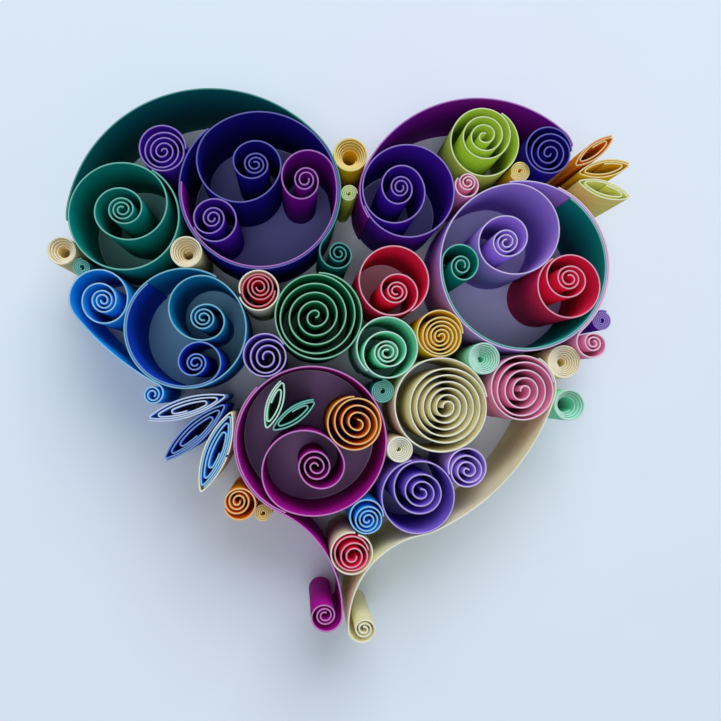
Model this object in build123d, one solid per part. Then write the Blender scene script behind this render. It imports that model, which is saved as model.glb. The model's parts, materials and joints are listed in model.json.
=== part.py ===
from build123d import *

import os
from dataclasses import dataclass, replace
from math import acos, atan2, cos, degrees, hypot, radians, sin, sqrt

# A heart of quilled paper strips glued on edge to a flat card.
# Z is up from the card, Y runs from the tip of the heart to its lobes.
# The origin is the middle of the card's back.

# ---- driving dimensions, mm ------------------------------------------------
HEART_WIDTH = 88.0        # across both lobes and the leaves that stick out
STRIP_HEIGHT = 18.0       # width of the paper strips, which stand on edge
PAPER = 0.22              # thickness of one strip of paper
FILM = 0.06               # glue film between two turns that are rolled tight
CARD_SIDE = 140.0         # square backing card
CARD_THICKNESS = 1.5

WRAP = PAPER + FILM       # one more turn of a tight roll adds this much
HALF = PAPER / 2
UNIT = HEART_WIDTH / 88.0  # the layout is drawn for a heart 88 mm wide


# ---- flat geometry ---------------------------------------------------------
@dataclass(frozen=True)
class Circle:
    """The outer face of something round, seen from above."""

    x: float
    y: float
    r: float

    def at(self, angle, radius):
        """Point at a bearing and a distance from the centre."""
        return (self.x + radius * cos(radians(angle)), self.y + radius * sin(radians(angle)))

    def grown(self, wraps=1):
        """The circle after some more turns have been wrapped round it."""
        return replace(self, r=self.r + wraps * WRAP)

    def slim(self, wraps=1):
        """The circle inside some tight turns."""
        return replace(self, r=self.r - wraps * WRAP)


def bearing(a, b):
    """Direction from point a to point b in degrees."""
    return degrees(atan2(b[1] - a[1], b[0] - a[0]))


def meet(a, ra, b, rb, side):
    """Point ra from a and rb from b; side 1 is left of the line from a to b, -1 is right."""
    dx = b[0] - a[0]
    dy = b[1] - a[1]
    span = hypot(dx, dy)
    along = (ra * ra - rb * rb + span * span) / (2 * span)
    across = side * sqrt(max(ra * ra - along * along, 0.0))
    return (a[0] + (along * dx - across * dy) / span, a[1] + (along * dy + across * dx) / span)


def disc(x, y, r):
    """A circle of the layout, in units of the heart."""
    return Circle(x * UNIT, y * UNIT, r * UNIT)


def beside(a, b, r, side):
    """Circle of radius r that touches circles a and b from outside."""
    r = r * UNIT
    reach = r + FILM
    return Circle(*meet((a.x, a.y), a.r + reach, (b.x, b.y), b.r + reach, side), r)


def against(a, r, angle):
    """Circle of radius r that touches circle a from outside at a bearing."""
    r = r * UNIT
    return Circle(*a.at(angle, a.r + FILM + r), r)


def tucked(ring, b, r, side):
    """Circle of radius r that lies against the inside of a ring and touches circle b."""
    r = r * UNIT
    return Circle(*meet((ring.x, ring.y), ring.r - WRAP - r, (b.x, b.y), b.r + FILM + r, side), r)


def between(a, b, c, side):
    """The circle that touches circles a, b and c from outside, found by halving."""
    low = 0.0
    high = 20.0
    while high - low > 1e-9:
        r = (low + high) / 2
        x, y = meet((a.x, a.y), a.r + r + FILM, (b.x, b.y), b.r + r + FILM, side)
        if hypot(x - c.x, y - c.y) < c.r + r + FILM:
            high = r
        else:
            low = r
    return Circle(x, y, r)


@dataclass(frozen=True)
class Arc:
    """One bend of a strip's centreline, angles in degrees."""

    x: float
    y: float
    r: float
    start: float
    sweep: float

    def point(self, share, offset=0.0):
        """Point on the bend, or beside it, offset to the left of the way it runs."""
        angle = radians(self.start + self.sweep * share)
        radius = self.r - offset if self.sweep > 0 else self.r + offset
        return (self.x + radius * cos(angle), self.y + radius * sin(angle))

    def back(self):
        return Arc(self.x, self.y, self.r, self.start + self.sweep, -self.sweep)


class Run:
    """The centreline of a strip as a chain of bends that flow into each other."""

    def __init__(self, circle, at, way):
        """Starts on the inside face of a circle at a bearing; way 1 is anticlockwise."""
        self.c = (circle.x, circle.y)
        self.r = circle.r - HALF
        self.a = at
        self.way = way
        self.arcs = []

    def go(self, sweep):
        """Goes on round the present bend."""
        self.arcs.append(Arc(*self.c, self.r, self.a, self.way * sweep))
        self.a += self.way * sweep
        return self

    def to(self, angle):
        """Goes on round the present bend to a bearing."""
        return self.go((self.way * (angle - self.a)) % 360)

    def turn(self, r):
        """Changes the radius of the bend without a kink."""
        shift = self.r - r
        self.c = (self.c[0] + shift * cos(radians(self.a)), self.c[1] + shift * sin(radians(self.a)))
        self.r = r
        return self

    def bend(self, r, sweep):
        """Changes to a bend of radius r and goes round it."""
        return self.turn(r * UNIT).go(sweep)

    def flip(self, r):
        """Starts to bend the other way with radius r."""
        self.turn(-r * UNIT)
        self.r = -self.r
        self.a += 180
        self.way = -self.way
        return self

    def curl(self, end, pitch, first=0.0):
        """Half turns that close in by a pitch each turn down to an end radius."""
        r = self.r - first * UNIT
        while r > end * UNIT:
            self.turn(r).go(180)
            r -= max(pitch * UNIT, WRAP) / 2
        return self

    def roll(self, end):
        """Half turns rolled as tight as the paper lies, down to an end radius."""
        return self.curl(end, 0.0)

    def ring(self):
        """A full turn whose end comes to lie just inside its start."""
        r = self.r
        return self.go(300).turn(r - 2 * WRAP).go(60)

    def outline(self):
        """The outer face of the present bend as a circle."""
        return Circle(*self.c, self.r + HALF)

    def nest(self, circle):
        """Goes on to the place where a circle lies against the present bend and turns into it."""
        self.to(bearing(self.c, (circle.x, circle.y)))
        self.c = (circle.x, circle.y)
        self.r = circle.r - HALF
        return self

    def over(self, circle, r):
        """Leaves on a bend of radius r that spans the gap to a circle and lands round its outside."""
        r = r * UNIT
        inner = circle.r - HALF
        mid = meet(self.c, r - self.r, (circle.x, circle.y), r - inner, self.way)
        self.to(bearing(mid, self.c))
        self.c = mid
        self.r = r
        self.to(bearing(mid, (circle.x, circle.y)))
        self.c = (circle.x, circle.y)
        self.r = inner
        return self

    def skirt(self, circle, r):
        """Leaves on a bend the other way of radius r, as far as it touches a circle from outside."""
        r = r * UNIT
        mid = meet(self.c, r + self.r, (circle.x, circle.y), r + circle.r - HALF, -self.way)
        self.to(bearing(self.c, mid))
        self.c = mid
        self.r = r
        self.a += 180
        self.way = -self.way
        return self.to(bearing(mid, (circle.x, circle.y)))


# ---- the pieces ------------------------------------------------------------
@dataclass(frozen=True)
class Strip:
    """One strip of paper on edge: a node of the library part."""

    arcs: tuple
    share: float = 1.0        # of the full strip height


@dataclass(frozen=True)
class Cup:
    """A tight roll whose inner turns are pushed down: a node of the library part."""

    circle: Circle
    bore: float               # radius of the hole at the middle
    dish: float               # depth of the innermost turn below the rim
    share: float = 1.0


def strip(run, other_end=None, share=1.0):
    """A strip along a run; the other end is a run that starts at the same place backwards."""
    arcs = list(run.arcs)
    if other_end is not None:
        arcs = [arc.back() for arc in reversed(other_end.arcs)] + arcs
    return Strip(tuple(arcs), share)


def open_scroll(circle, at, way, first, pitch, end=0.42):
    """A ring, one wide half turn inside it and a loose curl at the middle."""
    run = Run(circle, at, way).ring()
    run.bend(first, 185)
    run.bend(first * 0.66, 180)
    return strip(run.curl(end, pitch, first * 0.17))


def loose_coil(circle, at, way, pitch, first=0.0, share=1.0):
    """A ring with evenly loose turns inside it."""
    return strip(Run(circle, at, way).ring().curl(0.42, pitch, first), share=share)


def bead(circle, at=0.0, way=1, share=1.0):
    """A roll with its turns tight."""
    return strip(Run(circle, at, way).roll(0.3), share=share)


def rim(circle, at):
    """One turn of paper round a coil."""
    return strip(Run(circle, at, 1).ring())


@dataclass(frozen=True)
class Marquise:
    """Leaf outline: two bows that meet in points, about a centre and turned by an angle."""

    x: float
    y: float
    angle: float
    bow: float                # radius of each bow's centreline
    drop: float               # distance of each bow's centre from the long axis

    def inside(self):
        """The outline one tight wrap further in."""
        return replace(self, bow=self.bow - WRAP)

    def arc(self, x, y, r, start, end):
        """A bend given about the leaf's own axes, running anticlockwise."""
        turn = radians(self.angle)
        px = self.x + x * cos(turn) - y * sin(turn)
        py = self.y + x * sin(turn) + y * cos(turn)
        return Arc(px, py, r, start + self.angle, (end - start) % 360)


def marquise(root, reach, angle, length, width):
    """A leaf that points away from a root, with its near point at a reach from it."""
    half_length = length * UNIT / 2 - HALF
    half_width = width * UNIT / 2 - HALF
    bow = (half_length * half_length + half_width * half_width) / (2 * half_width)
    mid = (reach + length / 2) * UNIT
    x = root[0] * UNIT + mid * cos(radians(angle))
    y = root[1] * UNIT + mid * sin(radians(angle))
    return Marquise(x, y, angle, bow, bow - half_width)


def bows(shape, near, far, turns):
    """The bends of a leaf: upper bow, point, lower bow, point, and so on inwards."""
    chain = []
    for turn in range(turns):
        tip = 0.22 * (1 + 0.3 * turn)
        upper = (0.0, -shape.drop, shape.bow - turn * near)
        lower = (0.0, shape.drop, shape.bow - turn * far)
        after = (0.0, -shape.drop, shape.bow - (turn + 1) * near)
        chain += [upper, point_of(upper, lower, tip), lower, point_of(lower, after, tip)]
    return chain + [after]


def point_of(one, two, tip):
    """The small bend that joins two bows at a leaf's point."""
    x, y = meet(one[:2], one[2] - tip, two[:2], two[2] - tip, 1)
    return (x, y, tip)


def joint(one, two):
    """Bearing of the place where a bend flows into the next one."""
    if one[2] > two[2]:
        return bearing(one[:2], two[:2])
    return bearing(two[:2], one[:2])


def leaf(shape, far=0.46):
    """A leaf whose turns are packed along one bow and spaced along the other."""
    near = 1.07 * WRAP
    far = max(far * UNIT, near)
    room = 2 * (shape.bow - shape.drop) - 0.42
    chain = bows(shape, near, far, int(room / (near + far)))
    arcs = []
    start = joint(point_of((0, shape.drop, shape.bow), chain[0], 0.22), chain[0])
    for one, two in zip(chain, chain[1:]):
        end = joint(one, two)
        arcs.append(shape.arc(*one, start, end))
        start = end
    arcs.append(shape.arc(*chain[-1], start, 90.0))
    return Strip(tuple(arcs))


def leaf_rim(shape):
    """One turn of paper round a leaf, with a small gap where its ends come together."""
    upper, right, lower, left = bows(shape, 0.0, 0.0, 1)[:4]
    gap = degrees(0.2 / shape.bow)
    arcs = [shape.arc(*upper, 90.0 + gap, joint(upper, right))]
    for one, two, after in ((upper, right, lower), (right, lower, left), (lower, left, upper)):
        arcs.append(shape.arc(*two, joint(one, two), joint(two, after)))
    arcs.append(shape.arc(*upper, joint(left, upper), 90.0 - gap))
    return Strip(tuple(arcs))


nodes = {}

# ---- left lobe: a wide ring and a smaller one under one long sweep ---------
left_ring = disc(-13.5, 24.5, 12.0)
teal_ring = disc(-33.4, 20.2, 8.1)

run = Run(left_ring, 130, 1).ring().turn(6.3 * UNIT)
arm = run.outline()
run.go(215).bend(3.7, 150).bend(2.7, 180)
nodes["indigo_ring_scroll"] = strip(run.curl(0.42, 0.62, 0.95))

plum_nest = tucked(left_ring, arm, 4.1, -1)
run = Run(left_ring.slim(), 175, 1).nest(plum_nest).go(200).bend(2.6, 170)
nodes["plum_lining_scroll"] = strip(run.curl(0.4, 0.66, 0.9))

violet_nest = tucked(left_ring.slim(), arm, 3.3, 1)
run = Run(violet_nest, 200, 1).ring().bend(2.2, 170)
nodes["violet_nested_scroll"] = strip(run.curl(0.42, 0.66, 0.7))

run = Run(teal_ring, 60, -1).ring().bend(5.6, 190).bend(3.6, 180).bend(2.5, 180)
nodes["teal_open_scroll"] = strip(run.curl(0.42, 0.62, 0.7))

run = Run(teal_ring.grown(), 185, -1).over(left_ring.grown(), 21.5).to(-38)
run.flip(2.6).go(150).bend(1.9, 150)
nodes["deep_teal_outer_sweep"] = strip(run.curl(0.42, 0.6, 0.5))

top_coil = beside(teal_ring, left_ring, 3.5, 1)
nodes["violet_top_coil"] = loose_coil(top_coil, 0, 1, 0.8)

# ---- right lobe: violet scroll, lime coil and indigo coil under a sweep ----
violet_ring = disc(9.0, 24.8, 7.2)
lime_coil = disc(20.9, 32.6, 5.4)
indigo_coil = disc(31.0, 31.6, 3.7)

run = Run(violet_ring, 200, 1).ring().bend(4.7, 200).bend(3.1, 180).bend(2.2, 180)
nodes["violet_open_scroll"] = strip(run.curl(0.42, 0.6, 0.7))
nodes["lime_loose_coil"] = loose_coil(lime_coil, 60, -1, 1.25, 0.9)
nodes["indigo_loose_coil"] = loose_coil(indigo_coil, 0, 1, 1.0)

run = Run(violet_ring.grown(), 215, -1).over(indigo_coil.grown(), 20.0).to(12)
nodes["plum_outer_sweep"] = strip(run)

# ---- right side: the widest ring with a scroll, a lining and a nest --------
lilac_ring = disc(27.0, 13.6, 13.2)

run = Run(lilac_ring, 100, -1).ring().turn(7.0 * UNIT)
arm = run.outline()
run.go(220).bend(4.3, 160).bend(3.1, 180)
nodes["lilac_ring_scroll"] = strip(run.curl(0.42, 0.7, 1.1))

rose_nest = tucked(lilac_ring.slim(), arm, 5.0, -1)
run = Run(rose_nest, 120, 1).ring().bend(3.2, 190).bend(2.3, 170)
nodes["rose_nested_scroll"] = strip(run.curl(0.42, 0.66, 0.6))

teal_nest = tucked(lilac_ring, arm, 2.9, 1)
run = Run(lilac_ring.slim(), 55, -1).nest(teal_nest).go(230).bend(1.9, 170)
nodes["teal_lining_scroll"] = strip(run.curl(0.42, 0.6, 0.6))

run = Run(lilac_ring.grown(), 66, -1).to(-48).flip(2.4)
pink_tail = run.outline()
run.go(170).bend(1.8, 160)
nodes["pink_outer_sweep"] = strip(run.curl(0.4, 0.56, 0.5))

# ---- left side: turquoise ring with two curls, azure scroll round it -------
turquoise_ring = disc(-24.3, 3.6, 9.0)

run = Run(turquoise_ring, 60, 1).ring().turn(4.8 * UNIT)
arm = run.outline()
run.go(230).bend(2.6, 200)
nodes["turquoise_ring_scroll"] = strip(run.curl(0.42, 0.6, 0.9))

cobalt_nest = tucked(turquoise_ring, arm, 3.2, -1)
run = Run(turquoise_ring.slim(), 130, 1).nest(cobalt_nest).go(240).bend(2.0, 170)
nodes["cobalt_lining_scroll"] = strip(run.curl(0.4, 0.55, 0.65))

azure_scroll = beside(teal_ring.grown(), turquoise_ring, 4.3, -1)
run = Run(azure_scroll, 120, 1).over(turquoise_ring.grown(), 38.0).go(3).flip(1.5)
azure_tail = run.outline()
run.go(150).bend(1.2, 150).curl(0.4, 0.5, 0.2)
back = Run(azure_scroll, 120, -1).go(150).bend(3.2, 170).bend(2.4, 170).curl(0.42, 0.6, 0.7)
nodes["azure_flank_scroll"] = strip(run, back)

# ---- middle: green coil, rose scroll, mint scroll, ivory coil --------------
green_coil = disc(-4.6, 5.6, 6.6)
rose_ring = disc(6.8, 11.0, 5.4)
ivory_coil = disc(14.0, -7.8, 7.2)
mint_ring = between(green_coil, rose_ring, ivory_coil, -1)

nodes["green_loose_coil"] = loose_coil(green_coil, 90, -1, 1.35)
run = Run(rose_ring, 300, 1).ring().bend(3.0, 180).bend(2.1, 180)
nodes["rose_open_scroll"] = strip(run.curl(0.42, 0.6, 0.6))
run = Run(mint_ring, 230, -1).ring().bend(3.4, 180).bend(2.5, 180)
nodes["mint_open_scroll"] = strip(run.curl(0.42, 0.6, 0.7))
nodes["ivory_loose_coil"] = loose_coil(ivory_coil, 10, 1, 1.0, 0.7)

# ---- foot: magenta ring, lavender scroll, pink and lilac coils -------------
magenta_ring = disc(-5.6, -13.2, 11.3)
pink_coil = disc(26.6, -5.2, 5.0)
lavender_ring = disc(10.4, -21.6, 5.6)
lilac_coil = beside(ivory_coil, lavender_ring, 3.0, 1)
tip_coil = disc(0.4, -29.9, 3.2)

run = Run(magenta_ring, 250, -1).ring().turn(6.2 * UNIT)
arm = run.outline()
run.go(230).bend(3.4, 190)
nodes["magenta_ring_scroll"] = strip(run.curl(0.42, 0.85, 1.1))
orange_coil = tucked(magenta_ring, arm, 4.1, 1)
nodes["orange_loose_coil"] = loose_coil(orange_coil, 90, 1, 1.05)
nodes["pink_loose_coil"] = loose_coil(pink_coil, 10, 1, 1.2)
run = Run(lavender_ring, 100, 1).ring().bend(3.9, 190)
nodes["lavender_open_scroll"] = strip(run.curl(0.42, 1.1, 1.0))
nodes["lilac_loose_coil"] = loose_coil(lilac_coil, 200, -1, 0.95)
nodes["ivory_tip_rim"] = rim(tip_coil, 80)
nodes["rose_tip_coil"] = loose_coil(tip_coil.slim(2), 10, 1, 0.8)

# ---- the two strips that run down the flanks to the tip --------------------
run = Run(magenta_ring.grown(), 135, 1).skirt(tip_coil.grown(), 16.5).to(-2).turn(2.3 * UNIT)
magenta_tail = run.outline()
run.go(150).bend(1.8, 150)
nodes["magenta_flank_sweep"] = strip(run.curl(0.4, 0.5, 0.45))

run = Run(pink_coil.grown(), 60, -1).over(lavender_ring.grown(), 34.0)
run.skirt(tip_coil.grown(), 13.5).to(182).turn(2.0 * UNIT)
ivory_tail = run.outline()
run.go(150).bend(1.5, 150)
nodes["ivory_flank_sweep"] = strip(run.curl(0.4, 0.5, 0.3))

# ---- small coils and cups in the gaps --------------------------------------
red_coil = between(left_ring, turquoise_ring, green_coil, 1)
nodes["ivory_red_rim"] = rim(red_coil, 200)
nodes["red_core_coil"] = loose_coil(red_coil.slim(2), 0, -1, 0.62)
nodes["cream_cup"] = Cup(between(teal_ring, left_ring, turquoise_ring, -1), 0.7, 3.2)
nodes["lavender_gap_coil"] = loose_coil(between(turquoise_ring, green_coil, magenta_ring, -1), 30, 1, 0.9)
nodes["mint_cup"] = Cup(between(lilac_ring, ivory_coil, pink_coil, 1), 0.45, 2.6)
nodes["pink_gap_coil"] = loose_coil(between(violet_ring, lime_coil, lilac_ring, -1), 140, 1, 0.5)
nodes["yellow_gap_bead"] = bead(between(lime_coil, indigo_coil, lilac_ring, -1), 200, 1, 0.94)
nodes["ivory_gap_cup"] = Cup(between(magenta_ring, ivory_coil, lavender_ring, -1), 0.3, 1.2)
nodes["azure_gap_coil"] = loose_coil(between(magenta_ring, lavender_ring, tip_coil, -1), 0, 1, 0.6)
nodes["yellow_gap_coil"] = loose_coil(between(mint_ring, ivory_coil, lilac_ring, 1), 0, 1, 0.62)
nodes["teal_gap_bead"] = bead(between(magenta_ring, mint_ring, ivory_coil, -1), 90, -1, 0.9)

# ---- leaves ----------------------------------------------------------------
foot = (-12.7, -12.4)
nodes["teal_leaf"] = leaf(marquise(foot, 1.4, 35, 8.2, 2.5))
nodes["mint_leaf"] = leaf(marquise(foot, 1.0, 72, 8.0, 2.5))

foot = (-16.4, -5.8)
nodes["sky_leaf"] = leaf(marquise(foot, 1.8, 197, 12.5, 3.0))
nodes["cobalt_leaf"] = leaf(marquise(foot, 2.6, 223, 12.5, 3.2))
bordered = marquise(foot, 3.0, 249.5, 13.0, 3.7)
nodes["ivory_leaf_rim"] = leaf_rim(bordered)
nodes["azure_leaf"] = leaf(bordered.inside())

foot = (33.0, 27.6)
nodes["orange_leaf"] = leaf(marquise(foot, 2.6, 38, 8.2, 2.5))
nodes["yellow_leaf"] = leaf(marquise(foot, 2.6, 11, 8.8, 2.8))
nodes["lemon_leaf"] = leaf(marquise(foot, 2.6, -16, 9.0, 2.8))

# ---- beads and cups along the outline --------------------------------------
left_bead = beside(teal_ring.grown(), azure_scroll, 1.35, -1)
nodes["teal_edge_bead"] = bead(left_bead, 90, 1, 0.9)
nodes["cream_edge_cup"] = Cup(beside(teal_ring.grown(), left_bead, 2.1, -1), 0.8, 2.0, 0.95)
nodes["lime_cleft_bead"] = bead(beside(left_ring.grown(), violet_ring.grown(), 1.3, 1), 0, 1, 0.9)

cleft_cup = beside(left_ring.grown(), violet_ring.grown(2), 2.6, 1)
nodes["yellow_cleft_cup"] = Cup(cleft_cup, 1.1, 2.4, 0.95)
orange_edge = against(magenta_ring.grown(), 2.4, 221)
nodes["orange_edge_coil"] = loose_coil(orange_edge, 200, 1, 0.62)
yellow_edge = beside(magenta_ring.grown(), orange_edge, 1.35, 1)
nodes["yellow_edge_bead"] = bead(yellow_edge, 0, 1, 0.9)
nodes["violet_edge_bead"] = bead(beside(lilac_ring.grown(), pink_tail, 1.6, 1), 60, 1, 0.92)
nodes["cream_flank_cup"] = Cup(between(lilac_ring.grown(), pink_coil.grown(), pink_tail, 1), 0.6, 1.8, 0.95)
nodes["mint_flank_cup"] = Cup(against(pink_coil.grown(), 2.4, -20), 1.2, 2.4)

# ---- solids ----------------------------------------------------------------
def quarters(arcs):
    """The bends again, with those over half a turn cut in two."""
    for arc in arcs:
        if abs(arc.sweep) < 1e-6:
            continue
        parts = 1 + int(abs(arc.sweep) > 180)
        for part in range(parts):
            yield Arc(arc.x, arc.y, arc.r, arc.start + arc.sweep * part / parts, arc.sweep / parts)


def side(arcs, offset):
    """Edges along one face of a strip, each starting where the last one ended."""
    edges = []
    here = arcs[0].point(0, offset)
    for arc in arcs:
        there = arc.point(1, offset)
        edges.append(Edge.make_three_point_arc(here, arc.point(0.5, offset), there))
        here = there
    return edges


def strip_solid(piece):
    """The strip as a solid that stands on the card."""
    arcs = list(quarters(piece.arcs))
    left = side(arcs, HALF)
    right = side(arcs, -HALF)
    caps = [Edge.make_line(left[0] @ 0, right[0] @ 0), Edge.make_line(left[-1] @ 1, right[-1] @ 1)]
    flat = Face(Wire(left + right + caps))
    return extrude(flat, amount=STRIP_HEIGHT * piece.share, dir=(0, 0, 1)).moved(Pos(0, 0, CARD_THICKNESS))


def cup_solid(piece):
    """The cup as a solid of revolution, one step to each turn of paper."""
    bore = piece.bore * UNIT
    turns = int((piece.circle.r - bore) / WRAP)
    step = (piece.circle.r - bore) / turns
    top = STRIP_HEIGHT * piece.share
    outline = [(bore, 0.0), (piece.circle.r, 0.0)]
    for turn in range(turns):
        level = top - piece.dish * UNIT * turn / (turns - 1)
        outer = piece.circle.r - turn * step
        outline += [(outer, level), (outer - step, level)]
    profile = make_face(Polyline([(x, 0, z) for x, z in outline], close=True))
    return revolve(profile, Axis.Z).moved(Pos(piece.circle.x, piece.circle.y, CARD_THICKNESS))


def card_solid():
    """The square backing card."""
    sheet = Box(CARD_SIDE, CARD_SIDE, CARD_THICKNESS)
    return sheet.moved(Pos(0, 0, CARD_THICKNESS / 2))


os.makedirs("parts", exist_ok=True)
export_step(card_solid(), "parts/backing_card.step")
for name, piece in nodes.items():
    solid = cup_solid(piece) if isinstance(piece, Cup) else strip_solid(piece)
    export_step(solid, "parts/" + name + ".step")
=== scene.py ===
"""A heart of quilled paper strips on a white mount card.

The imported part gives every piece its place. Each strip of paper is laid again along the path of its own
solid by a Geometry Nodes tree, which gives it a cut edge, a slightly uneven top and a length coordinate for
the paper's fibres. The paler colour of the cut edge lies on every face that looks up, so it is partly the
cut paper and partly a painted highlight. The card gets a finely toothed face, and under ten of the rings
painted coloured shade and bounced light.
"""

import json
import logging
import math
from dataclasses import dataclass, field
from enum import Enum
from typing import Iterator, Sequence

import bmesh
import bpy
import numpy as np
from mathutils import Matrix, Vector

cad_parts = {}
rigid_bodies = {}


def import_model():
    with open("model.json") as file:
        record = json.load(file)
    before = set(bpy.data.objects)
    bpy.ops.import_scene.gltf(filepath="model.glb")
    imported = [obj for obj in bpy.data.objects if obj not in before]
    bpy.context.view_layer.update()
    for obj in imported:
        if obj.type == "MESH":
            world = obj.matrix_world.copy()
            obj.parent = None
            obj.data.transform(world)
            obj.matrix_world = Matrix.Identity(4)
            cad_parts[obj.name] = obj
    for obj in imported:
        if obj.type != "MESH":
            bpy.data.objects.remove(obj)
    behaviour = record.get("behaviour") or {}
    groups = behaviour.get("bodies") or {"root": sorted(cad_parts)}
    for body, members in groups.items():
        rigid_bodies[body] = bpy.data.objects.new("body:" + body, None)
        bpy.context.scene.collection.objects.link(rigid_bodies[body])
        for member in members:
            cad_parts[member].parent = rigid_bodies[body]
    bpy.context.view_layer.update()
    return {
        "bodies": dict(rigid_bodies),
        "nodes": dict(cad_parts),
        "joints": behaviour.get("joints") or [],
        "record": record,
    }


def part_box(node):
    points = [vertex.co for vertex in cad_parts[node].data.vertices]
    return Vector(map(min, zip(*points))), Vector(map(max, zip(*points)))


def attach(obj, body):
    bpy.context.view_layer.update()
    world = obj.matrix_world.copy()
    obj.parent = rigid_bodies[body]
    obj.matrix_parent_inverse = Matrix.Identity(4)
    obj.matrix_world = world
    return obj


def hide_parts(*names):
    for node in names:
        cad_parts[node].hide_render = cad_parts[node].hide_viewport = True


LOG = logging.getLogger("quilled_heart")

MM = 0.001
CARD_NODE = "backing_card"
CUP_ENDING = "_cup"

PAPER_THICKNESS = 0.22 * MM
# The top of the strips, which the camera looks at.
STRIP_TOP = 19.5 * MM
# The seeds of two strips lie this far apart in the noise, so that no two tops are alike.
SEED_STEP = 7.3
# Noise comes out between about these two values, and is spread from them.
NOISE_RANGE = {"From Min": 0.3, "From Max": 0.7}


# ---- small helpers ---------------------------------------------------------
def linear(hex_colour: str) -> tuple[float, float, float, float]:
    """Turns an sRGB hex colour into the linear colour that a shader socket takes.

    Args:
        hex_colour: six hex digits with a leading #.

    Returns:
        Red, green and blue as linear values, and an alpha of one.
    """
    channels = [int(hex_colour[i : i + 2], 16) / 255 for i in (1, 3, 5)]
    red, green, blue = (c / 12.92 if c <= 0.04045 else ((c + 0.055) / 1.055) ** 2.4 for c in channels)
    return (red, green, blue, 1.0)


def add_node(
    tree: bpy.types.NodeTree,
    kind: str,
    settings: dict[str, object] | None = None,
    inputs: dict[str | int, object] | None = None,
) -> bpy.types.Node:
    """Adds one node to a tree with its settings, its input values and its input links.

    Args:
        tree: the shader or geometry tree that gets the node.
        kind: the node's type name.
        settings: attributes of the node, set first, because some of them change its sockets.
        inputs: socket name or number to a value, or to an output socket that is linked to it.

    Returns:
        The new node.
    """
    node = tree.nodes.new(kind)
    for name, value in (settings or {}).items():
        setattr(node, name, value)
    for key, value in (inputs or {}).items():
        if isinstance(value, bpy.types.NodeSocket):
            tree.links.new(value, node.inputs[key])
        else:
            node.inputs[key].default_value = value
    return node


def blank_material(name: str) -> tuple[bpy.types.Material, bpy.types.NodeTree]:
    """Makes a material with an empty node tree.

    Args:
        name: the material's name.

    Returns:
        The material and its tree.
    """
    material = bpy.data.materials.new(name)
    material.use_nodes = True
    material.node_tree.nodes.clear()
    return material, material.node_tree


def shown(name: str, data: bpy.types.ID) -> bpy.types.Object:
    """Puts data into the scene as an object at the origin.

    Args:
        name: the object's name.
        data: a mesh, a lamp or a camera.

    Returns:
        The new object.
    """
    thing = bpy.data.objects.new(name, data)
    bpy.context.scene.collection.objects.link(thing)
    return thing


# ---- finishes --------------------------------------------------------------
class Face(Enum):
    """The two kinds of surface that a strip of paper shows, by the ending of the material's name."""

    WALL = "dyed_wall"
    # The cut edge's paler colour lies on every face that looks up: partly the cut paper, partly a painted
    # highlight.
    CUT = "cut_edge"


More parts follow.
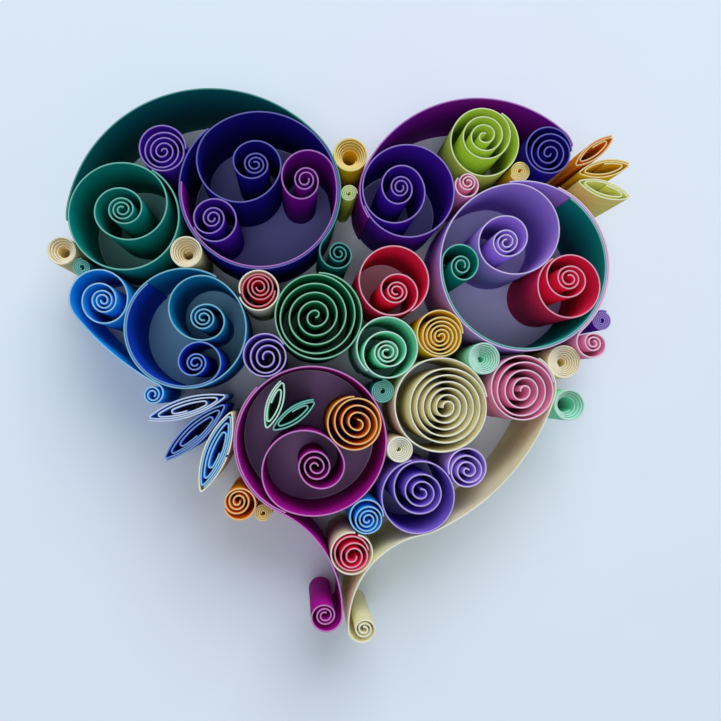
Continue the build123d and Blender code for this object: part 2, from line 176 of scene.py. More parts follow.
@dataclass(frozen=True)
class PaperFinish:
    """Uncoated dyed craft paper of 120 to 180 g/m2.

    To the eye it is matt, with short fibres along the strip and hardly any clouding. A little light comes
    through it in its own colour. Where it was cut, the loose fibres look paler and have no shine. That paler
    colour is laid on every face that looks up, so it is partly the cut paper and partly a painted highlight.
    """

    slot: str
    wall: str
    # The cut edge's paler colour, partly the cut paper and partly a painted highlight from above.
    cut: str
    wall_roughness: float = 0.78
    cut_roughness: float = 0.9
    gloss: float = 0.16
    through: float = 0.22
    fibre_mm: float = 0.9
    fibre_stretch: float = 0.35
    fibre_shade: float = 0.05
    cloud_mm: float = 3.2
    cloud_shade: float = 0.025
    tooth_strength: float = 0.35
    tooth_depth: float = 0.03 * MM

    def material(self, face: Face) -> bpy.types.Material:
        """Builds the paper for the walls, or its paler look on a cut edge, which is partly a painted
        highlight.

        Args:
            face: which surface of the strip the material is for.

        Returns:
            The new material.
        """
        is_wall = face is Face.WALL
        material, tree = blank_material(f"{self.slot}_{face.value}")
        place = add_node(tree, "ShaderNodeTexCoord")
        fibres = self._fibres(tree, place.outputs["UV"])
        clouds = add_node(
            tree,
            "ShaderNodeTexNoise",
            inputs={"Vector": place.outputs["Object"], "Scale": 1 / (self.cloud_mm * MM), "Detail": 2.0},
        ).outputs[0]
        shade = add_node(
            tree,
            "ShaderNodeMath",
            {"operation": "MULTIPLY"},
            {0: self._shade(tree, clouds, self.cloud_shade), 1: self._shade(tree, fibres, self.fibre_shade)},
        )
        dyed = add_node(
            tree,
            "ShaderNodeVectorMath",
            {"operation": "SCALE"},
            {0: linear(self.wall if is_wall else self.cut)[:3], "Scale": shade.outputs[0]},
        ).outputs[0]
        tooth = add_node(
            tree,
            "ShaderNodeBump",
            inputs={"Height": fibres, "Strength": self.tooth_strength, "Distance": self.tooth_depth},
        ).outputs[0]
        paper = add_node(
            tree,
            "ShaderNodeBsdfPrincipled",
            inputs={
                "Base Color": dyed,
                "Roughness": self.wall_roughness if is_wall else self.cut_roughness,
                "Normal": tooth,
                "IOR": 1.45,
                "Specular IOR Level": self.gloss,
            },
        )
        lit_through = add_node(tree, "ShaderNodeBsdfTranslucent", inputs={"Color": dyed, "Normal": tooth})
        sheet = add_node(
            tree,
            "ShaderNodeMixShader",
            inputs={0: self.through, 1: paper.outputs[0], 2: lit_through.outputs[0]},
        )
        add_node(tree, "ShaderNodeOutputMaterial", inputs={"Surface": sheet.outputs[0]})
        return material

    def _fibres(self, tree: bpy.types.NodeTree, paper_mm: bpy.types.NodeSocket) -> bpy.types.NodeSocket:
        """Draws the fibres, stretched along the strip.

        Args:
            tree: the paper's node tree.
            paper_mm: the UV map, which counts millimetres of paper.

        Returns:
            The height of the fibres.
        """
        along = add_node(
            tree,
            "ShaderNodeMapping",
            inputs={"Vector": paper_mm, "Scale": (self.fibre_stretch, 1.0, 1.0)},
        )
        noise = {"Scale": 1 / self.fibre_mm, "Detail": 5.0, "Roughness": 0.65}
        return add_node(tree, "ShaderNodeTexNoise", inputs={"Vector": along.outputs[0], **noise}).outputs[0]

    @staticmethod
    def _shade(
        tree: bpy.types.NodeTree, noise: bpy.types.NodeSocket, amount: float
    ) -> bpy.types.NodeSocket:
        """Turns noise into a factor that darkens and lightens the dye.

        Args:
            tree: the paper's node tree.
            noise: the noise.
            amount: how far the factor goes from one.

        Returns:
            The factor.
        """
        spread = {"To Min": 1 - amount, "To Max": 1 + amount}
        return add_node(
            tree, "ShaderNodeMapRange", inputs={"Value": noise, **NOISE_RANGE, **spread}
        ).outputs[0]


@dataclass(frozen=True)
class PaintedRingShade:
    """Painted coloured shade and bounced light on the card inside one ring.

    A deep ring of dyed paper shades the card at its foot and colours it by bounced light. The lamps here
    give too little of that, so this painted shade and bounced light stand in for it. It is part of the
    card's colour and stays under any other light.
    """

    node: str
    # The colour of the painted shade and bounced light, which multiplies the card's colour.
    colour: str
    strength: float = 0.85
    soft_edge: float = 0.4 * MM

    def over(
        self, tree: bpy.types.NodeTree, flat_place: bpy.types.NodeSocket, colour: bpy.types.NodeSocket
    ) -> bpy.types.NodeSocket:
        """Multiplies the card's colour by the painted shade and bounce colour, as far as the ring's wall.

        Args:
            tree: the card's node tree.
            flat_place: object coordinates with no height.
            colour: the card's colour so far.

        Returns:
            The colour with this painted shade and bounced light.
        """
        low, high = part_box(self.node)
        middle, reach = (low + high) / 2, min(high.x - low.x, high.y - low.y) / 2
        away = add_node(
            tree,
            "ShaderNodeVectorMath",
            {"operation": "DISTANCE"},
            {0: flat_place, 1: (middle.x, middle.y, 0.0)},
        )
        inside = add_node(
            tree,
            "ShaderNodeMapRange",
            inputs={
                "Value": away.outputs["Value"],
                "From Min": reach - self.soft_edge,
                "From Max": reach,
                "To Min": self.strength,
                "To Max": 0.0,
            },
        )
        # A Mix node for colours has its two colours at inputs 6 and 7, and gives its colour at output 2.
        return add_node(
            tree,
            "ShaderNodeMix",
            {"data_type": "RGBA", "blend_type": "MULTIPLY"},
            {0: inside.outputs[0], 6: colour, 7: linear(self.colour)},
        ).outputs[2]


# Painted coloured shade and bounced light for the rings whose floor shows from above. An empty tuple gives
# the plain white card.
PAINTED_RING_SHADES: tuple[PaintedRingShade, ...] = (
    PaintedRingShade("indigo_ring_scroll", "#4f46aa"),
    PaintedRingShade("magenta_ring_scroll", "#a862aa"),
    PaintedRingShade("turquoise_ring_scroll", "#7fcbe6"),
    PaintedRingShade("lilac_ring_scroll", "#d3bcf2"),
    PaintedRingShade("teal_open_scroll", "#45a396"),
    PaintedRingShade("violet_open_scroll", "#6a50bc"),
    PaintedRingShade("rose_open_scroll", "#f2a3b6"),
    PaintedRingShade("mint_open_scroll", "#a6e6cf"),
    PaintedRingShade("lavender_open_scroll", "#a894e4"),
    PaintedRingShade("green_loose_coil", "#7dc9a2"),
)


@dataclass(frozen=True)
class CardFinish:
    """White mount board. To the eye it is cool white and even, with a fine tooth and hardly any gloss.
    Inside ten rings it carries painted coloured shade and bounced light.
    """

    face: str = "#e9f1f8"
    roughness: float = 0.72
    gloss: float = 0.35
    tooth_mm: float = 0.35
    tooth_strength: float = 0.25
    tooth_depth: float = 0.02 * MM
    clouds_per_metre: float = 60.0
    darkest_cloud: float = 0.985
    # Painted coloured shade and bounced light inside the rings.
    painted_ring_floors: tuple[PaintedRingShade, ...] = PAINTED_RING_SHADES

    def material(self) -> bpy.types.Material:
        """Builds the card's material.

        Returns:
            The new material.
        """
        material, tree = blank_material("white_mount_board")
        place = add_node(tree, "ShaderNodeTexCoord").outputs["Object"]
        tooth = add_node(
            tree,
            "ShaderNodeTexNoise",
            inputs={"Vector": place, "Scale": 1 / (self.tooth_mm * MM), "Detail": 4.0, "Roughness": 0.6},
        )
        bump = add_node(
            tree,
            "ShaderNodeBump",
            inputs={
                "Height": tooth.outputs[0],
                "Strength": self.tooth_strength,
                "Distance": self.tooth_depth,
            },
        )
        board = add_node(
            tree,
            "ShaderNodeBsdfPrincipled",
            inputs={
                "Base Color": self._colour(tree, place),
                "Roughness": self.roughness,
                "Normal": bump.outputs[0],
                "Specular IOR Level": self.gloss,
            },
        )
        add_node(tree, "ShaderNodeOutputMaterial", inputs={"Surface": board.outputs[0]})
        return material

    def _colour(self, tree: bpy.types.NodeTree, place: bpy.types.NodeSocket) -> bpy.types.NodeSocket:
        """Clouds the white very faintly and lays the rings' painted shade and bounced light over it.

        Args:
            tree: the card's node tree.
            place: object coordinates.

        Returns:
            The card's colour.
        """
        clouds = add_node(
            tree,
            "ShaderNodeTexNoise",
            inputs={"Vector": place, "Scale": self.clouds_per_metre, "Detail": 2.0},
        ).outputs[0]
        spread = {"To Min": self.darkest_cloud, "To Max": 1.0}
        shade = add_node(tree, "ShaderNodeMapRange", inputs={"Value": clouds, **NOISE_RANGE, **spread})
        colour = add_node(
            tree,
            "ShaderNodeVectorMath",
            {"operation": "SCALE"},
            {0: linear(self.face)[:3], "Scale": shade.outputs[0]},
        ).outputs[0]
        flat_place = add_node(
            tree, "ShaderNodeVectorMath", {"operation": "MULTIPLY"}, {0: place, 1: (1, 1, 0)}
        ).outputs[0]
        # Lays each ring's painted shade and bounced light on the card.
        for shade_patch in self.painted_ring_floors:
            colour = shade_patch.over(tree, flat_place, colour)
        return colour


# The dye of each paper, and the paler tone of its cut edge, which is partly a painted highlight from above.
DYES: dict[str, tuple[str, str]] = {
    "deep_teal_paper": ("#037071", "#5fa9a0"),
    "teal_paper": ("#059f93", "#86cfbf"),
    "mint_paper": ("#98f5d3", "#d8f3e6"),
    "green_paper": ("#159f67", "#9ad9b8"),
    "turquoise_paper": ("#0696c9", "#8ccfe0"),
    "azure_paper": ("#1daaf7", "#a8dcf4"),
    "sky_paper": ("#8bbcf7", "#dcebfb"),
    "cobalt_paper": ("#0c4cd2", "#86a9e2"),
    "indigo_paper": ("#1e1694", "#7a78c4"),
    "violet_paper": ("#561eb7", "#a78cd8"),
    "lavender_paper": ("#9272e2", "#cdb9ec"),
    "lilac_paper": ("#c4a0f4", "#e2d2f5"),
    "plum_paper": ("#8e0ea6", "#c384cf"),
    "magenta_paper": ("#bb13a1", "#dc93d2"),
    "rose_paper": ("#f72e65", "#f6b3c4"),
    "pink_paper": ("#f7a3c8", "#fbe0ea"),
    "red_paper": ("#df0e36", "#ee98a4"),
    "orange_paper": ("#f79507", "#fbd694"),
    "yellow_paper": ("#f7c915", "#fbec9c"),
    "lemon_paper": ("#f7f78b", "#fafad4"),
    "lime_paper": ("#d3eb5b", "#e9f2b8"),
    "ivory_paper": ("#f7f0c4", "#fcfaea"),
    "cream_paper": ("#f7e2a0", "#fdf6dc"),
}


@dataclass
class PaperShelf:
    """Keeps one pair of materials for each paper."""

    made: dict[str, tuple[bpy.types.Material, bpy.types.Material]] = field(default_factory=dict)

    def pair(self, slot: str) -> tuple[bpy.types.Material, bpy.types.Material]:
        """Gives the wall and cut-edge materials of a paper.

        Args:
            slot: the record's material slot.

        Returns:
            The wall material and the cut-edge material.
        """
        if slot not in self.made:
            finish = PaperFinish(slot, *DYES[slot])
            self.made[slot] = (finish.material(Face.WALL), finish.material(Face.CUT))
        return self.made[slot]


# ---- where a strip runs ----------------------------------------------------
# Corners of a solid's top face closer than this are one corner, and a corner this far down isn't on it.
SAME_CORNER = 0.002 * MM
OFF_THE_TOP = 0.01 * MM
# How many corners of the far face are tried for each corner of the near one.
LOOK_AHEAD = 12
NO_LENGTH = 1e-18


@dataclass(frozen=True)
class StripPath:
    """The centreline of a strip on edge, with its foot and its top, in metres."""

    points: np.ndarray
    foot: float
    top: np.ndarray

    @staticmethod
    def from_node(node: bpy.types.Object) -> "StripPath":
        """Reads a strip's centreline from the outline of its solid's top face.

        Args:
            node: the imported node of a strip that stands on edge.

        Returns:
            The path that runs from one cut end of the strip to the other.
        """
        low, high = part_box(node.name)
        loop = top_outline(node.data, high.z)
        one, other = strip_ends(loop)
        count = len(loop)
        near = [loop[(one + 1 + i) % count] for i in range((other - one) % count)]
        far = [loop[(other + 1 + i) % count] for i in range((one - other) % count)]
        middle = centreline(np.array(near), np.array(far[::-1]))
        return StripPath(middle, low.z, np.full(len(middle), high.z))


def top_outline(mesh: bpy.types.Mesh, height: float) -> list[tuple[float, float]]:
    """Finds the closed outline of the flat face at the top of a solid.

    Args:
        mesh: the solid's triangles.
        height: the height of its top face.

    Returns:
        The outline's corners in order.
    """
    # The edges that only one triangle has. A dict keeps their order, which settles where the outline starts.
    edges: dict[tuple[int, int], None] = {}
    numbers: dict[tuple[int, int], int] = {}
    corners: list[tuple[float, float]] = []
    for polygon in mesh.polygons:
        points = [mesh.vertices[i].co for i in polygon.vertices]
        if min(p.z for p in points) < height - OFF_THE_TOP:
            continue
        ids = []
        for p in points:
            key = (round(p.x / SAME_CORNER), round(p.y / SAME_CORNER))
            if key not in numbers:
                numbers[key] = len(corners)
                corners.append((p.x, p.y))
            ids.append(numbers[key])
        for a, b in zip(ids, ids[1:] + ids[:1]):
            if (b, a) in edges:
                del edges[(b, a)]
            else:
                edges[(a, b)] = None
    after = dict(edges.keys())
    start = next(iter(after))
    loop = [start]
    while after[loop[-1]] != start:
        loop.append(after[loop[-1]])
    return [corners[i] for i in loop]


def strip_ends(loop: Sequence[tuple[float, float]]) -> tuple[int, int]:
    """Finds the two short square ends of a strip, where its outline turns most from one corner to the next.

    Args:
        loop: the outline's corners in order.

    Returns:
        The number of the corner that each end's edge starts from, in order.
    """
    points = np.array(loop)
    ahead = np.roll(points, -1, 0) - points
    heading = np.arctan2(ahead[:, 1], ahead[:, 0])
    turn = (heading - np.roll(heading, 1) + math.pi) % (2 * math.pi) - math.pi
    order = [int(i) for i in np.argsort(-np.abs(turn + np.roll(turn, -1)))]
    first, count = order[0], len(loop)
    second = next(i for i in order[1:] if min((i - first) % count, (first - i) % count) > 1)
    return (min(first, second), max(first, second))


def nearest_place(point: np.ndarray, face: np.ndarray, start: int) -> tuple[np.ndarray, int]:
    """Finds the place on one face of a strip that is nearest to a point.

    Args:
        point: a corner of the strip's other face.
        face: the corners of the face that is searched.
        start: the number of the corner to search from.

    Returns:
        The place, and the number of the corner before it.
    """
    found = []
    for i in range(start, min(start + LOOK_AHEAD, len(face) - 1)):
        span = face[i + 1] - face[i]
        share = np.clip(np.dot(point - face[i], span) / max(np.dot(span, span), NO_LENGTH), 0, 1)
        place = face[i] + share * span
        found.append((np.linalg.norm(point - place), place, i))
    _, place, number = min(found, key=lambda item: item[0])
    return place, number


def centreline(near: np.ndarray, far: np.ndarray) -> np.ndarray:
    """Runs halfway between the two faces of a strip.

    Args:
        near: corners along one face.
        far: corners along the other, in the same direction.

    Returns:
        One point of the centreline for each corner of the near face.
    """
    middle = []
    number = 0
    for point in near:
        place, number = nearest_place(point, far, number)
        middle.append((point + place) / 2)
    return np.array(middle)


# ---- the strips ------------------------------------------------------------
@dataclass
class StripTree:
    """The Geometry Nodes tree that stands a strip of paper on edge along a line of points.

    Its sizes are named inputs. Seed shifts the noise that makes the top edge uneven.
    """

    thickness: float = PAPER_THICKNESS
    foot: float = 1.5 * MM
    unevenness: float = 0.06 * MM
    rounding: float = 0.035 * MM
    step: float = 0.22 * MM
    waves_per_metre: float = 220.0
    section_height: float = 18 * MM
    # Faces that look up more than this get the cut edge's paler colour, partly a painted highlight.
    faces_up: float = 0.3
    tree: bpy.types.NodeTree = field(init=False)

    def __post_init__(self) -> None:
        """Builds the tree once; every strip shares it."""
        self.tree = bpy.data.node_groups.new("paper_strip_on_edge", "GeometryNodeTree")
        face = self.tree.interface
        face.new_socket("Geometry", in_out="INPUT", socket_type="NodeSocketGeometry")
        sizes = {
            "Thickness": self.thickness,
            "Foot": self.foot,
            "Unevenness": self.unevenness,
            "Rounding": self.rounding,
            "Step": self.step,
            "Seed": 0.0,
        }
        for name, value in sizes.items():
            face.new_socket(name, in_out="INPUT", socket_type="NodeSocketFloat").default_value = value
        for name in ("Wall", "Cut edge"):
            face.new_socket(name, in_out="INPUT", socket_type="NodeSocketMaterial")
        face.new_socket("Geometry", in_out="OUTPUT", socket_type="NodeSocketGeometry")
        self._fill()

    def identifier(self, name: str) -> str:
        """Gives the identifier of a named input.

        Args:
            name: the input's name.

        Returns:
            The identifier that a modifier sets it by.
        """
        return next(
            item.identifier
            for item in self.tree.interface.items_tree
            if item.item_type == "SOCKET" and item.in_out == "INPUT" and item.name == name
        )

    def _sum(self, operation: str, a: object, b: object) -> bpy.types.NodeSocket:
        """Adds one sum to the tree.

        Args:
            operation: the Math node's operation.
            a: the first value or socket.
            b: the second value or socket.

        Returns:
            The sum's result.
        """
        return add_node(self.tree, "ShaderNodeMath", {"operation": operation}, {0: a, 1: b}).outputs[0]

    def _vector(self, x: object, y: object, z: object = 0.0) -> bpy.types.NodeSocket:
        """Puts three values or sockets together.

        Args:
            x: the first value or socket.
            y: the second.
            z: the third.

        Returns:
            The vector.
        """
        return add_node(self.tree, "ShaderNodeCombineXYZ", inputs={0: x, 1: y, 2: z}).outputs[0]

    def _parts_of(self, kind: str) -> bpy.types.bpy_prop_collection:
        """Splits a vector that the geometry has.

        Args:
            kind: the input node that gives the vector.

        Returns:
            The outputs of the split, for x, y and z.
        """
        vector = add_node(self.tree, kind).outputs[0]
        return add_node(self.tree, "ShaderNodeSeparateXYZ", inputs={0: vector}).outputs

    def _keep(
        self, geometry: bpy.types.NodeSocket, values: dict[str, bpy.types.NodeSocket]
    ) -> bpy.types.bpy_prop_collection:
        """Captures values at the points of a curve, so that they reach the mesh that is swept from it.

        Args:
            geometry: the curve.
            values: the name and the socket of each value.

        Returns:
            The outputs: Geometry, and each value by its name.
        """
        kept = add_node(
            self.tree, "GeometryNodeCaptureAttribute", {"domain": "POINT"}, {"Geometry": geometry}
        )
        for name, value in values.items():
            kept.capture_items.new("FLOAT", name)
            self.tree.links.new(value, kept.inputs[name])
        return kept.outputs

    def _fill(self) -> None:
        """Adds the nodes: the line, the section swept along it, its height, its UV map and its paper."""
        given = add_node(self.tree, "NodeGroupInput").outputs
        line = self._line(given)
        section = self._section(given)
        sweep = add_node(
            self.tree,
            "GeometryNodeCurveToMesh",
            inputs={"Curve": line["Geometry"], "Profile Curve": section["Geometry"], "Fill Caps": True},
        )
        outward = add_node(self.tree, "GeometryNodeFlipFaces", inputs={"Mesh": sweep.outputs[0]})
        level = self._level(given, line, section["Share"])
        here = self._parts_of("GeometryNodeInputPosition")
        placed = add_node(
            self.tree,
            "GeometryNodeSetPosition",
            inputs={"Geometry": outward.outputs[0], "Position": self._vector(here[0], here[1], level)},
        )
        # The paper's own coordinates, in millimetres: along the strip, and up its height.
        paper = self._vector(
            self._sum("MULTIPLY", line["Length"], 1 / MM), self._sum("MULTIPLY", level, 1 / MM)
        )
        mapped = add_node(
            self.tree,
            "GeometryNodeStoreNamedAttribute",
            {"data_type": "FLOAT2", "domain": "CORNER"},
            {"Geometry": placed.outputs[0], "Name": "UVMap", "Value": paper},
        )
        self._dress(given, mapped.outputs[0])

    def _line(self, given: bpy.types.bpy_prop_collection) -> bpy.types.bpy_prop_collection:
        """Smooths the line of points and keeps the length along it and the height of its top.

        Args:
            given: the tree's inputs.

        Returns:
            The outputs Geometry, Length and Top.
        """
        line = add_node(self.tree, "GeometryNodeMeshToCurve", inputs={"Mesh": given["Geometry"]})
        smooth = add_node(
            self.tree,
            "GeometryNodeCurveSplineType",
            {"spline_type": "CATMULL_ROM"},
            {"Curve": line.outputs[0]},
        )
        even = add_node(
            self.tree,
            "GeometryNodeResampleCurve",
            {"mode": "LENGTH"},
            {"Curve": smooth.outputs[0], "Length": given["Step"]},
        )
        upright = add_node(
            self.tree, "GeometryNodeSetCurveNormal", {"mode": "Z_UP"}, {"Curve": even.outputs[0]}
        )
        length = add_node(self.tree, "GeometryNodeSplineParameter").outputs["Length"]
        top = add_node(
            self.tree, "GeometryNodeInputNamedAttribute", {"data_type": "FLOAT"}, {"Name": "top"}
        ).outputs[0]
        return self._keep(upright.outputs[0], {"Length": length, "Top": top})

    def _section(self, given: bpy.types.bpy_prop_collection) -> bpy.types.bpy_prop_collection:
        """Makes the paper's cross-section, and keeps how high up it each corner is.

        Args:
            given: the tree's inputs.

        Returns:
            The outputs Geometry, and Share, which is 0 at the foot and 1 at the top.
        """
        box = add_node(
            self.tree,
            "GeometryNodeCurvePrimitiveQuadrilateral",
            inputs={"Width": given["Thickness"], "Height": self.section_height},
        )
        rounded = add_node(
            self.tree,
            "GeometryNodeFilletCurve",
            inputs={"Curve": box.outputs[0], "Radius": given["Rounding"]},
        )
        height = self._parts_of("GeometryNodeInputPosition")[1]
        share = self._sum("ADD", self._sum("DIVIDE", height, self.section_height), 0.5)
        return self._keep(rounded.outputs[0], {"Share": share})

    def _level(
        self,
        given: bpy.types.bpy_prop_collection,
        line: bpy.types.bpy_prop_collection,
        share: bpy.types.NodeSocket,
    ) -> bpy.types.NodeSocket:
        """Works out each corner's height, with a top that only ever dips below the strip's own.

        Args:
            given: the tree's inputs.
            line: the kept length and top.
            share: how high up the section the corner is.

        Returns:
            The height in metres.
        """
        along = self._sum("MULTIPLY", line["Length"], self.waves_per_metre)
        wander = add_node(
            self.tree,
            "ShaderNodeTexNoise",
            {"noise_dimensions": "2D"},
            {"Vector": self._vector(along, given["Seed"]), "Scale": 1.0, "Detail": 2.0},
        )
        dip = self._sum("MULTIPLY", self._sum("SUBTRACT", wander.outputs[0], 1.0), given["Unevenness"])
        rise = self._sum("SUBTRACT", self._sum("ADD", line["Top"], dip), given["Foot"])
        return self._sum("ADD", given["Foot"], self._sum("MULTIPLY", share, rise))

    def _dress(self, given: bpy.types.bpy_prop_collection, strip: bpy.types.NodeSocket) -> None:
        """Smooths the strip, makes it real and gives it its paper, with the paler cut edge, partly a painted
        highlight, on what faces up.

        Args:
            given: the tree's inputs.
            strip: the strip's mesh.
        """
        soft = add_node(
            self.tree, "GeometryNodeSetShadeSmooth", inputs={"Geometry": strip, "Shade Smooth": True}
        )
        whole = add_node(self.tree, "GeometryNodeRealizeInstances", inputs={"Geometry": soft.outputs[0]})
        wall = add_node(
            self.tree,
            "GeometryNodeSetMaterial",
            inputs={"Geometry": whole.outputs[0], "Material": given["Wall"]},
        )
        # Faces that look up get the paler cut-edge paper, which is partly a painted highlight from above.
        edge = add_node(
            self.tree,
            "FunctionNodeCompare",
            {"operation": "GREATER_THAN"},
            {0: self._parts_of("GeometryNodeInputNormal")[2], 1: self.faces_up},
        )
        cut = add_node(
            self.tree,
            "GeometryNodeSetMaterial",
            inputs={
                "Geometry": wall.outputs[0],
                "Selection": edge.outputs[0],
                "Material": given["Cut edge"],
            },
        )
        add_node(self.tree, "NodeGroupOutput", inputs={0: cut.outputs[0]})


@dataclass
class PaperStrip:
    """One strip of paper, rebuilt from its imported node."""

    node: bpy.types.Object
    slot: str
    seed: int
    thickness: float = PAPER_THICKNESS

    def path(self) -> StripPath:
        """Gives the strip's path."""
        return StripPath.from_node(self.node)

    def build(self, tree: StripTree, shelf: PaperShelf) -> bpy.types.Object:
        """Stands the strip on its path and makes it a plain mesh.

        Args:
            tree: the shared Geometry Nodes tree.
            shelf: the papers.

        Returns:
            The finished piece.
        """
        path = self.path()
        line = bpy.data.meshes.new(self.node.name + "_path")
        places = [(float(x), float(y), 0.0) for x, y in path.points]
        line.from_pydata(places, [(i, i + 1) for i in range(len(places) - 1)], [])
        line.attributes.new("top", "FLOAT", "POINT").data.foreach_set("value", path.top.astype(np.float32))
        carrier = shown(self.node.name + "_path", line)
        modifier = carrier.modifiers.new("strip", "NODES")
        modifier.node_group = tree.tree
        wall, cut = shelf.pair(self.slot)
        values = {
            "Thickness": self.thickness,
            "Foot": path.foot,
            "Seed": self.seed * SEED_STEP,
            "Wall": wall,
            "Cut edge": cut,
        }
        for name, value in values.items():
            modifier[tree.identifier(name)] = value
        bpy.context.view_layer.update()
        graph = bpy.context.evaluated_depsgraph_get()
        mesh = bpy.data.meshes.new_from_object(carrier.evaluated_get(graph), depsgraph=graph)
        bpy.data.objects.remove(carrier)
        return shown("paper_" + self.node.name, mesh)


@dataclass
class PushedCup(PaperStrip):
    """A tight roll whose inner turns are pushed down."""

    pitch: float = 0.28 * MM
    slope: float = 1.4
    points_a_turn: int = 40

    def path(self) -> StripPath:
        """Winds the roll inwards from a whole turn of rim, with each turn's top a little lower.

        Returns:
            The path from the rim to the bore.
        """
        low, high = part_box(self.node.name)
        middle = (low + high) / 2
        corners = [v.co for v in self.node.data.vertices]
        rim = (high.x - low.x) / 2 - self.thickness / 2
        bore = min(math.hypot(c.x - middle.x, c.y - middle.y) for c in corners)
        lowest = min(round(c.z, 6) for c in corners if c.z > middle.z)
        turns = 1 + (rim - bore) / self.pitch
        share = np.linspace(0.0, 1.0, int(turns * self.points_a_turn))
        angle = share * turns * 2 * math.pi
        wound = np.clip(share * turns - 1, 0, None) / (turns - 1)
        reach = rim - wound * (rim - bore)
        ground = np.column_stack([middle.x + reach * np.cos(angle), middle.y + reach * np.sin(angle)])
        return StripPath(ground, low.z, high.z - wound**self.slope * (high.z - lowest))


# ---- the card --------------------------------------------------------------
@dataclass
class MountCard:
    """The square backing card, with its edges broken slightly where it was cut."""

    node: bpy.types.Object
    slot: str = "mount_card"
    edge: float = 0.12 * MM
    edge_steps: int = 3
    edge_roundness: float = 0.6
    finish: CardFinish = field(default_factory=CardFinish)

    def build(self) -> bpy.types.Object:
        """Makes the card's sheet inside the box of its solid.

        Returns:
            The finished piece.
        """
        low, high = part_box(self.node.name)
        mesh = bpy.data.meshes.new("card_sheet")
        shape = bmesh.new()
        bmesh.ops.create_cube(shape, size=1.0)
        for vertex in shape.verts:
            vertex.co = Vector((low[i] + high[i]) / 2 + vertex.co[i] * (high[i] - low[i]) for i in range(3))
        bmesh.ops.bevel(
            shape,
            geom=list(shape.edges),
            offset=self.edge,
            segments=self.edge_steps,
            profile=self.edge_roundness,
            affect="EDGES",
        )
        bmesh.ops.recalc_face_normals(shape, faces=list(shape.faces))
        shape.to_mesh(mesh)
        shape.free()
        mesh.materials.append(self.finish.material())
        return shown("card_sheet", mesh)


# ---- the whole picture -----------------------------------------------------
@dataclass
class QuilledHeart:
    """Every strip of the heart, and the card that carries them."""

    nodes: dict[str, bpy.types.Object]
    slots: dict[str, str]

    @staticmethod
    def from_frame(frame: dict) -> "QuilledHeart":
        """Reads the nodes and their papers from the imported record.


        Returns:
            The heart, not yet built.
        """
        slots = {part["node"]: part["material_slot"] for part in frame["record"]["subparts"]}
        return QuilledHeart(frame["nodes"], slots)

    def strips(self) -> Iterator[PaperStrip]:
        """Gives each strip or cup in the order of its name."""
        names = sorted(name for name in self.nodes if name != CARD_NODE)
        for number, name in enumerate(names):
            kind = PushedCup if name.endswith(CUP_ENDING) else PaperStrip
            yield kind(self.nodes[name], self.slots[name], number)

    def build(self) -> None:
        """Builds every piece and ties it to the frame."""
        tree = StripTree()
        shelf = PaperShelf()
        for strip in self.strips():
            tie(strip.build(tree, shelf), strip.node.name, strip.slot)
        card = MountCard(self.nodes[CARD_NODE])
        tie(card.build(), CARD_NODE, card.slot)


def tie(piece: bpy.types.Object, node: str, slot: str) -> None:
    """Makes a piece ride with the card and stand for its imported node, and reports it.

    Args:
        piece: the finished piece.
        node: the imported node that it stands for.
        slot: the record's material slot.
    """
    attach(piece, "root")
    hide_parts(node)
    LOG.info("%s: %d faces, %s", piece.name, len(piece.data.polygons), slot)


# ---- light, floor and camera -----------------------------------------------
@dataclass(frozen=True)
class SoftLamp:
    """A square lamp that faces the foot of the heart."""

    name: str
    place: tuple[float, float, float]
    watts: float
    side: float
    colour: str = "#f3f8ff"
    aim: tuple[float, float, float] = (0.0, 0.0, 0.01)

    def hang(self) -> None:
        """Puts the lamp in its place."""
        data = bpy.data.lights.new(self.name, "AREA")
        data.energy = self.watts
        data.size = self.side
        data.color = linear(self.colour)[:3]
        lamp = shown(self.name, data)
        lamp.location = self.place
        lamp.rotation_euler = (Vector(self.aim) - Vector(self.place)).to_track_quat("-Z", "Y").to_euler()


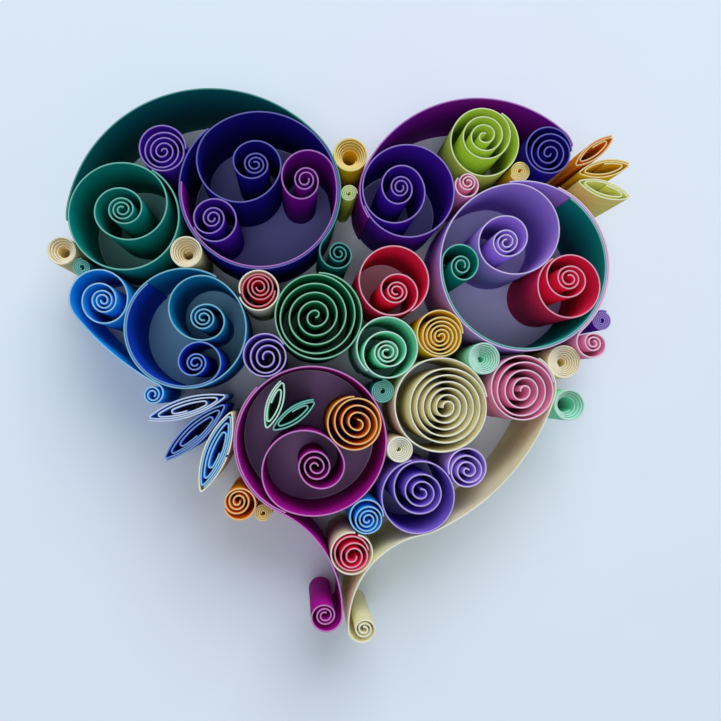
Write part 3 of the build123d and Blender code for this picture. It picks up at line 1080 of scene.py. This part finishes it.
@dataclass
class Studio:
    """A plain table in soft cool daylight from above the heart's lobes, with a camera that looks down."""

    table_side: float = 1.2
    table_colour: str = "#dfe8f1"
    table_roughness: float = 0.85
    lamps: tuple[SoftLamp, ...] = (
        SoftLamp("window_light", (0.17, 0.75, 0.78), 9.0, 0.8),
        SoftLamp("ceiling_light", (-0.08, -0.14, 0.75), 1.3, 0.30),
    )
    sky: str = "#dfe9f6"
    sky_strength: float = 0.33
    eye: tuple[float, float, float] = (-0.0081, -0.0055, 0.1395)
    aim: tuple[float, float, float] = (0.0017, -0.0011, STRIP_TOP)
    lens_mm: float = 40.0
    sensor_mm: float = 36.0
    nearest: float = 0.005

    def build(self) -> None:
        """Makes the table, the lamps, the world and the camera."""
        self._table()
        for lamp in self.lamps:
            lamp.hang()
        self._world()
        self._camera()

    def _table(self) -> None:
        """Lays a table top under the card."""
        half = self.table_side / 2
        mesh = bpy.data.meshes.new("table_top")
        ring = [(-half, -half, 0.0), (half, -half, 0.0), (half, half, 0.0), (-half, half, 0.0)]
        mesh.from_pydata(ring, [], [(0, 1, 2, 3)])
        # Matt painted board: an even pale ground that takes the card's shadow without a shine.
        material = bpy.data.materials.new("matt_table_top")
        material.use_nodes = True
        shader = material.node_tree.nodes["Principled BSDF"]
        shader.inputs["Base Color"].default_value = linear(self.table_colour)
        shader.inputs["Roughness"].default_value = self.table_roughness
        mesh.materials.append(material)
        shown("table_top", mesh)

    def _world(self) -> None:
        """Lights the shadows with an even pale sky."""
        world = bpy.data.worlds.new("pale_room")
        world.use_nodes = True
        tree = world.node_tree
        tree.nodes.clear()
        light = {"Color": linear(self.sky), "Strength": self.sky_strength}
        sky = add_node(tree, "ShaderNodeBackground", inputs=light)
        add_node(tree, "ShaderNodeOutputWorld", inputs={"Surface": sky.outputs[0]})
        bpy.context.scene.world = world

    def _camera(self) -> None:
        """Sets the camera over the heart, looking almost straight down with its tip towards the viewer."""
        data = bpy.data.cameras.new("overhead_camera")
        data.lens = self.lens_mm
        data.sensor_width = self.sensor_mm
        data.clip_start = self.nearest
        camera = shown("overhead_camera", data)
        ahead = (Vector(self.aim) - Vector(self.eye)).normalized()
        right = ahead.cross(Vector((0, 1, 0))).normalized()
        above = right.cross(ahead)
        camera.location = self.eye
        camera.rotation_euler = Matrix((right, above, -ahead)).transposed().to_euler()
        bpy.context.scene.camera = camera


def main() -> None:
    """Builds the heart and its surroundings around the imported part."""
    logging.basicConfig(level=logging.INFO, format="%(name)s: %(message)s")
    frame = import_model()
    QuilledHeart.from_frame(frame).build()
    Studio().build()
    bpy.context.scene.view_settings.view_transform = "Standard"


if __name__ == "__main__":
    main()
